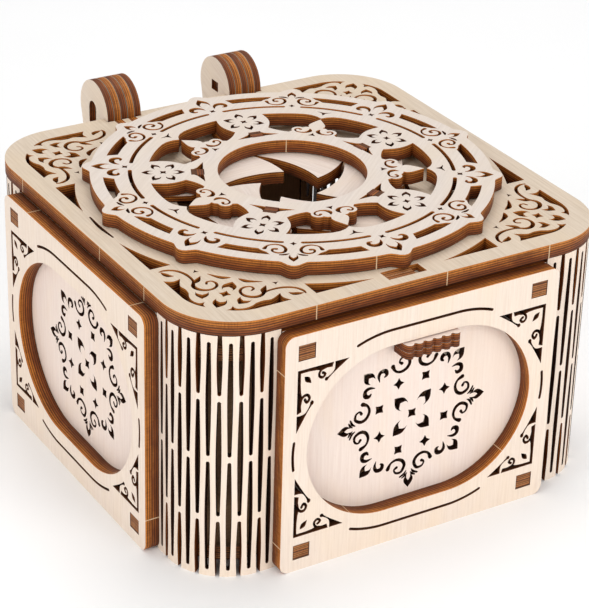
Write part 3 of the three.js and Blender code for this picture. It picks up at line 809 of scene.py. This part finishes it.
def lid_outline():
    half, corner, arm = LID["half"], LID["corner"], LID["arm"]
    shelf = BARREL["y"] - BARREL["radius"] - 2 * FIT
    gap = BARREL["board"] / 2 + FIT
    right = [(BARREL_FAR, half), (BARREL_FAR, shelf)]
    for index in (3, 1):
        x = barrel_x(index)
        right += [(x + gap, shelf), (x + gap, arm), (x - gap, arm), (x - gap, shelf)]
    right += [(BARREL_NEAR, shelf), (BARREL_NEAR, half)]
    c = half - corner
    return [
        *arc(c, -c, corner, -90, 0, 24),
        *arc(c, c, corner, 0, 90, 24),
        *right,
        *[(-x, y) for x, y in reversed(right)],
        *arc(-c, c, corner, 90, 180, 24),
        *arc(-c, -c, corner, 180, 270, 24),
    ]


def latch_slot(right):
    return rectangle(LATCH_SLOT["left"], right, LATCH_SLOT["low"], LATCH_SLOT["high"])


def clear_of_hinges(loop):
    """A cut is left out where it would run into the hinge notches."""
    return not any(20 < abs(x) < 40.5 and y > 73 for x, y in loop)


scrolls = [c for c in lid_cuts() if clear_of_hinges(c)]
lower_holes = [circle(0, 0, LID["hub"], 96), latch_slot(1.5)]
for k in range(IRIS["blades"]):
    x, y = polar(IRIS["pivot"], IRIS["angle"] + 72 * k)
    lower_holes.append(circle(x, y, PIN_HOLE, 16))
LID_NIBS = [(-95, 55), (-95, -15), (-95, -52), (-46, -95), (12, -95), (60, -95), (95, 20), (30, 95)]
lid_loop = nicked(lid_outline(), LID_NIBS)
lower_lid = triangulated(lid_loop, lower_holes + scrolls)
upper_lid = triangulated(lid_loop, [circle(0, 0, LID["recess"], 96), latch_slot(5.5), *scrolls])
lids = (("lid_under", lower_lid, "lid_lower_board"), ("lid_top", upper_lid, "lid_upper_board"))
for layer, (name, flat, node) in enumerate(lids):
    looks = {"grain": 90, "nibs": LID_NIBS, "layer": layer, "char_and_shade_width": LID_CUT}
    board(name, flat, BOARD, level(LID["z"] + BOARD * layer), "lid", [node], LID_WOOD, **looks)


# ---------- ring ----------

RING = {
    "z": 111.8, "board": 2.8, "radius": 82.2, "hub": 30.5, "angle": 10.5, "knobs": 12, "knob": -0.5,
    "medallion": 52.6, "round": 10.9, "band": 58.8, "slot_inner": 72.6, "slot_outer": 77.0,
}
HUB_NIBS = [polar(RING["hub"], at) for at in (64, 244)]
RIM_NIBS = [polar(RING["radius"], at) for at in (80, 207, 262, 318)]


def ring_outline():
    """A circle with twelve knobs; its knots are radius and angle from a knob's middle."""
    plain = RING["radius"]
    knob = [(82.5, -3.3), (83.6, -2.4), (84.8, -1.5), (85.5, -0.5)]
    knots = [(plain, -9), (plain, -6), (plain, -4.0), *knob]
    knots += [(r, -a) for r, a in reversed(knots)]
    knots += [(plain, a) for a in (11, 13, 15, 17, 19)]
    outline = []
    for k in range(RING["knobs"]):
        outline += [polar(r, RING["knob"] + 30 * k + a) for r, a in knots]
    return outline


def ring_opening(at):
    """One of the five large openings: two lobes round a spade that stands between two volutes."""
    x, y = polar(RING["medallion"], 36)
    band, far, around = RING["band"], RING["medallion"], RING["round"] + 0.8
    meet = math.degrees(math.acos((band**2 + far**2 - around**2) / (2 * band * far)))
    corner = polar(band, 36 - meet)
    facing = math.degrees(math.atan2(corner[1] - y, corner[0] - x)) % 360
    lobe = curve([(55.2, 0), polar(57.0, 2.2), polar(58.3, 5.0)], 3)
    lobe += arc(0, 0, band, 8, 36 - meet, 10)
    beside = []
    for i in range(1, 15):
        turn = math.radians(facing + (256 - facing) * i / 14)
        reach = RING["round"] + 0.8 * abs(i / 7 - 1) ** 3
        beside.append((x + reach * math.cos(turn), y + reach * math.sin(turn)))
    inner = curve([beside[-1], polar(42.0, 23.2), polar(40.1, 19.0), polar(39.2, 15.0)], 3)[1:]
    disc = arc(41.2, 6.8, 2.9, 128, -25, 12)
    spade = curve([(44.9, 4.2), (45.2, 3.0), (46.6, 3.5), (48.6, 3.1), (51.2, 1.7), (54.0, 0)], 4)
    half = lobe + beside + inner + disc + spade
    return spin(half + flip(half)[1:-1], at)


def hub_cuts(at):
    """A fifth of the ring inside its band: a medallion's flower, then the opening after it."""
    leaf = petal(3.9, 8.9, 1.2, 1.9, 6.5)
    flower = [spin(leaf, 60 * i) for i in range(6)] + [star(0, 0, 1.8, 0.5, 45)]
    wedge = [(40.4, 2.6), (38.9, 3.8), (37.7, 6.0), (36.0, 9.4), (36.1, 5.4), (36.3, 2.6)]
    cuts = [rectangle(35.9, 41.3, -2.75, 2.75), wedge, flip(wedge)]
    cuts += [shift(points, RING["medallion"], 0) for points in flower]
    spiral = stroke(
        [(43.0, 2.1, 0.6), (41.0, 1.7, 1.9), (39.2, 3.1, 1.4), (38.7, 5.4, 0.9), (39.4, 7.4, 0.8)]
        + [(41.1, 8.1, 0.9), (42.4, 7.1, 1.0), (41.7, 5.9, 1.3)]
    )
    dart = [(62.4, -3.2), (60.9, -0.9), (58.7, 0), (60.9, 0.9), (62.4, 3.2), (61.6, 0)]
    between = [dart, star(37.2, 0, 1.9, 0.38, 0, 3), spiral, flip(spiral)]
    cuts = [spin(points, at) for points in cuts] + [spin(points, at + 36) for points in between]
    return cuts + [ring_opening(at + 36)]


def band_cuts():
    """The ornament round the ring: drops between volutes on the knobs, and fleurs between slots."""
    comma = stroke(
        [(70.6, 2.3, 0.4), (72.4, 3.1, 1.3), (73.8, 4.9, 2.2), (73.6, 7.1, 2.4), (71.9, 8.1, 2.0)]
        + [(70.4, 7.5, 1.5), (70.4, 6.2, 0.8)]
    )
    fleur = petal(73.7, 82.0, 2.0, 2.9, 78.4)
    volute = stroke(
        [(71.5, 11.0, 1.7), (69.0, 9.8, 0.9), (67.9, 7.0, 1.0), (69.0, 4.3, 1.2), (71.6, 2.9, 1.3)]
        + [(74.2, 3.5, 1.3), (75.1, 5.8, 1.2), (73.8, 7.9, 1.0), (71.9, 7.8, 1.2), (71.8, 6.5, 1.6)]
    )
    tick = stroke([(75.6, 1.7, 0.5), (76.4, 3.2, 1.3), (76.7, 5.2, 0.8)], 3)
    drop = petal(76.2, 82.2, 1.2, 2.0, 79.2)
    slot = arc(0, 0, RING["slot_outer"], 7.9, 23.4, 10) + [polar(75.1, 22.2), polar(73.8, 20.4)]
    slot += arc(0, 0, RING["slot_inner"], 19.4, 9.3, 8)
    line = stroke([(x, y, 1.7) for x, y in arc(0, 0, 66.0, 3.2, 26.2, 12)], 1)
    knob = [drop, volute, flip(volute), tick, flip(tick), star(67.0, 0, 1.5, 0.5, 0), line]
    fleurs = [fleur, comma, flip(comma), star(68.2, 0, 1.6, 0.5, 45), slot, flip(slot), line]
    cuts = []
    for k in range(RING["knobs"]):
        cuts += [spin(points, RING["knob"] + 30 * k) for points in (fleurs if k % 2 else knob)]
    return cuts


ring_holes = [nicked(circle(0, 0, RING["hub"], 96), HUB_NIBS)]
for k in range(IRIS["blades"]):
    ring_holes += hub_cuts(RING["angle"] + 72 * k)
ring_flat = triangulated(nicked(ring_outline(), RIM_NIBS), ring_holes + band_cuts())
for layer, label in enumerate(("lower", "upper")):
    pitch = RING["board"] + GLUE
    thick = pitch if layer == 0 else RING["board"]
    place, nodes = level(RING["z"] + pitch * layer), [f"ring_{label}_board"]
    looks = {"grain": 40, "nibs": HUB_NIBS + RIM_NIBS, "layer": layer, "char_and_shade_width": RING_CUT}
    board(f"ring_{label}", ring_flat, thick, place, "ring", nodes, RING_WOOD, **looks)

CAP = {"half": 2.6, "low": 113.5, "high": 117.45, "from": 36.1, "thick": 5.0}
cap_flat = triangulated(rectangle(-CAP["half"], CAP["half"], CAP["low"], CAP["high"]), [])
for k in range(IRIS["blades"]):
    place = on_spoke(RING["angle"] + 72 * k, CAP["from"])
    board(f"driver_cap_{k + 1}", cap_flat, CAP["thick"], place, "ring", [], TAB_WOOD, layer=0)


# ---------- iris ----------


def edge_point(heading, bend, gap):
    """Along the curved edge between two closed blades, from the middle at a heading."""
    edge = IRIS["edge"]
    start, now = math.radians(heading), math.radians(heading + bend)
    x = -edge * math.sin(start) + (edge + gap) * math.sin(now)
    return (x, edge * math.cos(start) - (edge + gap) * math.cos(now))


def blade_outline():
    steps, reach, gap, pivot = 24, 46, IRIS["gap"], IRIS["pivot"]
    bends = [reach * i / steps for i in range(1, steps + 1)]
    leading = [edge_point(-85, bend, -gap) for bend in bends]
    trailing = [edge_point(-13, bend, gap) for bend in bends]
    boss = arc(pivot, 0, 7, -125, 100, 20)
    back = [(44, 10.4), (38, 9.2), (34, 7.4), *trailing[::-1]]
    return [(0.2, -0.24), *leading, (29, -24.5), *boss, *back]


def driver_on_blade(turn):
    """Where a driver stands on a closed blade when the ring is turned by an angle from rest."""
    x, y = polar(IRIS["driver"], RING["angle"] - IRIS["angle"] + turn)
    back = IRIS["ratio"] * (turn - IRIS["closed"])
    return shift(spin([(x - IRIS["pivot"], y)], -back), IRIS["pivot"], 0)[0]


def blade_slot():
    """The slot that a driver's square leg runs in."""
    radius = BOARD * math.sqrt(0.5) + FIT + 0.15
    (ax, ay), (bx, by) = driver_on_blade(IRIS["opened"]), driver_on_blade(IRIS["closed"])
    tilt = math.degrees(math.atan2(by - ay, bx - ax))
    end = arc(ax, ay, radius, tilt + 90, tilt + 270, 14)
    return arc(bx, by, radius, tilt - 90, tilt + 90, 14) + end


def at_rest(points):
    """A closed blade's points, turned about its pivot to where the blade stands at rest."""
    turned = spin(shift(points, -IRIS["pivot"], 0), IRIS["ratio"] * -IRIS["closed"])
    return shift(turned, IRIS["pivot"], 0)


blade_loops = [blade_outline(), blade_slot(), circle(IRIS["pivot"], 0, PIN_HOLE, 20)]
for k in range(IRIS["blades"]):
    turn = IRIS["angle"] + 72 * k
    loops = [spin(at_rest(points), turn) for points in blade_loops]
    body, nodes = f"blade_{k + 1}", [f"iris_blade_{k + 1}"]
    spots = spin([(18, -4)], turn)
    outline = nicked(loops[0], spots)
    leaf = triangulated(outline, loops[1:])
    lining = triangulated(outline, [], inside=circle(0, 0, IRIS["lining"], 64))
    looks = {"grain": 40 + 72 * k, "nibs": spots}
    place = level(IRIS["z"])
    board(f"{body}_leaf", leaf, IRIS["thick"], place, body, nodes, BLADE_WOOD, **looks)
    place = level(IRIS["z"] - BOARD)
    board(f"{body}_lining", lining, BOARD, place, body, nodes, BLADE_WOOD, layer=0, **looks)


# ---------- hinges ----------


def case_knuckle():
    """A fixed hinge board: a disc over a leg that is tenoned into the back."""
    y, z, radius = BARREL["y"], BARREL["z"], BARREL["radius"]
    back = 100.5
    end = 360 + math.degrees(math.atan2(-math.sqrt(radius**2 - (back - y) ** 2), back - y))
    body = [(back, 95.6), (91.1, 95.6), (91.1, 91.2), (back, 91.2), (back, 84)]
    toe = curve([(106, 84), (109.6, 86), (112.6, 91), (115.2, 98)], 4)
    return arc(y, z, radius, -20, end, 54) + body + toe


def lid_knuckle():
    """A moving hinge board: a disc with an arm through the lid and a foot under it."""
    y, z, radius = BARREL["y"], BARREL["z"], BARREL["radius"]
    start = -180 - math.degrees(math.asin((105.8 - z) / radius))
    end = 180 - math.degrees(math.asin((111.2 - z) / radius))
    body = [(76, 111.2), (76, 105.2), (70, 105.2), (70, 102.4), (84, 102.4), (84, 105.8)]
    return arc(y, z, radius, start, end, 54) + body


def bore(side, index):
    """The outermost left board has an arched slot, the moving boards have round bores, but for
    the one beside it, which has none, and the rest have flat ones."""
    y, z = BARREL["y"], BARREL["z"]
    if side < 0 and index == 4:
        return [rectangle(102.6, 109.4, 105.0, 112.2)[:2] + arc(106, 112.2, 3.4, 0, 180, 12)]
    if index % 2:
        return [] if side < 0 and index == 3 else [circle(y, z, 3.6, 28)]
    return [rectangle(y - 2.9, y + 2.9, z - 2.3, z + 2.3)]


for side, label in ((-1, "left"), (1, "right")):
    for index in range(5):
        kind, outline = ("lid", lid_knuckle()) if index % 2 else ("case", case_knuckle())
        flat = triangulated(outline, bore(side, index))
        thick = BARREL["board"]
        place = sideways(side * barrel_x(index) - thick / 2)
        nodes = [f"hinge_{label}_{kind}_board_{index + 1}"]
        looks = {"grain": 20, "layer": index % 2}
        board(f"knuckle_{label}_{index + 1}", flat, thick, place, kind, nodes, HINGE_WOOD, **looks)


# ---------- thumb tab ----------

THUMB_Z = 82.4


def thumb_outline():
    """The tab seen from above: six round bumps in front, and a neck through the front panel."""
    left, right, front, wall = -10.2, 15.2, -103, -94.3
    pitch = (right - left) / 6
    radius = pitch * 0.42
    outline = [(-3.5, -84.3), (-3.5, wall), (left, wall), (left, front + radius + 1)]
    for i in range(6):
        outline += arc(left + pitch * (i + 0.5), front + radius, radius, 200, 340, 10)
    return outline + [(right, front + radius + 1), (right, wall), (8.5, wall), (8.5, -84.3)]


thumb = triangulated(thumb_outline(), [])
for index, label in enumerate(("lower", "upper")):
    place, nodes = level(THUMB_Z + BOARD * index), [f"thumb_tab_{label}"]
    thick = BOARD - GLUE if index == 0 else BOARD
    board(f"thumb_{label}", thumb, thick, place, "latch", nodes, PANEL_WOOD, layer=0)


# ---------- left axle ----------

# The left axle stops short of the board that has the arched slot.
AXLE = {"half_width": 2.6, "half_height": 2, "end": -(BARREL["from"] + 3 * BARREL["pitch"] - FIT)}
axle_y = BARREL["y"] - AXLE["half_width"], BARREL["y"] + AXLE["half_width"]
axle_z = BARREL["z"] - AXLE["half_height"], BARREL["z"] + AXLE["half_height"]
axle_flat = triangulated(rectangle(*axle_y, *axle_z), [])
axle_length = -BARREL["from"] - AXLE["end"]
place, nodes = sideways(AXLE["end"]), ["hinge_left_axle"]
board("axle_left", axle_flat, axle_length, place, "case", nodes, BROWNED_AND_SHADED)


# ---------- CAD pieces that stay ----------

LOOKS = {
    # Flat boards: faces painted darker than the upright boards', as painted shade for the inside of
    # the box.
    "level": solid_board("level_board_painted_shade", colour(190, 154, 118), colour(160, 124, 92), 2),
    "upright": solid_board("upright_board", colour(238, 222, 202), colour(222, 202, 178), 1),
    "burnt": solid_burnt("browned_peg"),
}
KEPT = {
    "level": [
        "floor_plate_lower", "floor_plate_upper", "top_plate_lower", "top_plate_upper",
        "ring_retainer",
    ],
    "upright": [
        "latch_board_rear", "latch_board_front", "latch_keeper", "latch_guide_left",
        "latch_guide_right",
    ],
    "burnt": [
        "hinge_right_axle",
        *[f"blade_pin_{k}" for k in range(1, 6)],
        *[f"iris_driver_{k}" for k in range(1, 6)],
    ],
}
for look, names in KEPT.items():
    for name in names:
        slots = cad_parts[name].data.materials
        if len(slots):
            slots[0] = LOOKS[look]
        else:
            slots.append(LOOKS[look])


# ---------- floor, light and camera ----------


def floor_material():
    n = Nodes("pale_floor")
    mottle = n.noise(n.add("ShaderNodeTexCoord", {}, 3), (9, 9, 9), 3.0)
    base = n.mix(mottle, (0.97, 0.97, 0.97, 1), (0.98, 0.98, 0.98, 1))
    return n.finish(base, n.between(mottle, 0.3, 0.7, 0.7, 0.8), mottle, 0.00005)


FLOOR_HALF = 3  # metres
corners = [(x, y, 0) for x, y in rectangle(-FLOOR_HALF, FLOOR_HALF, -FLOOR_HALF, FLOOR_HALF)]
mesh = bpy.data.meshes.new("floor")
mesh.from_pydata(corners, [], [(0, 1, 2, 3)])
mesh.materials.append(floor_material())
floor = bpy.data.objects.new("floor", mesh)
bpy.context.scene.collection.objects.link(floor)

AIM = Vector((0, 0, 0.06))  # where the lamps point


def lamp(name, place, size, power):
    """A soft square lamp, its side in metres and its power in watts."""
    data = bpy.data.lights.new(name, "AREA")
    data.shape = "SQUARE"
    data.size = size
    data.energy = power
    item = bpy.data.objects.new(name, data)
    item.location = place
    item.rotation_euler = (AIM - Vector(place)).to_track_quat("-Z", "Y").to_euler()
    bpy.context.scene.collection.objects.link(item)


lamp("front_softbox", (0.35, -1.5, 0.75), 1.1, 10.4)
lamp("left_softbox", (-1.4, -0.5, 0.8), 1.0, 9.2)
lamp("top_softbox", (0.25, 0.35, 1.5), 1.2, 12)

world = bpy.data.worlds.new("studio")
world.use_nodes = True
world.node_tree.nodes["Background"].inputs["Color"].default_value = (1, 1, 1, 1)
world.node_tree.nodes["Background"].inputs["Strength"].default_value = 0.44
bpy.context.scene.world = world
bpy.context.scene.view_settings.view_transform = "Standard"

CAMERA = {"place": (-0.4329, -0.7157, 0.4964), "heading": -31.60, "tilt": 62.05, "roll": 1.66}
camera_data = bpy.data.cameras.new("camera")
camera_data.lens = 132.63
camera_data.sensor_width = 36
camera = bpy.data.objects.new("camera", camera_data)
heading = Matrix.Rotation(math.radians(CAMERA["heading"]), 4, "Z")
tilt = Matrix.Rotation(math.radians(CAMERA["tilt"]), 4, "X")
roll = Matrix.Rotation(math.radians(CAMERA["roll"]), 4, "Z")
camera.matrix_world = Matrix.Translation(CAMERA["place"]) @ heading @ tilt @ roll
bpy.context.scene.collection.objects.link(camera)
bpy.context.scene.camera = camera
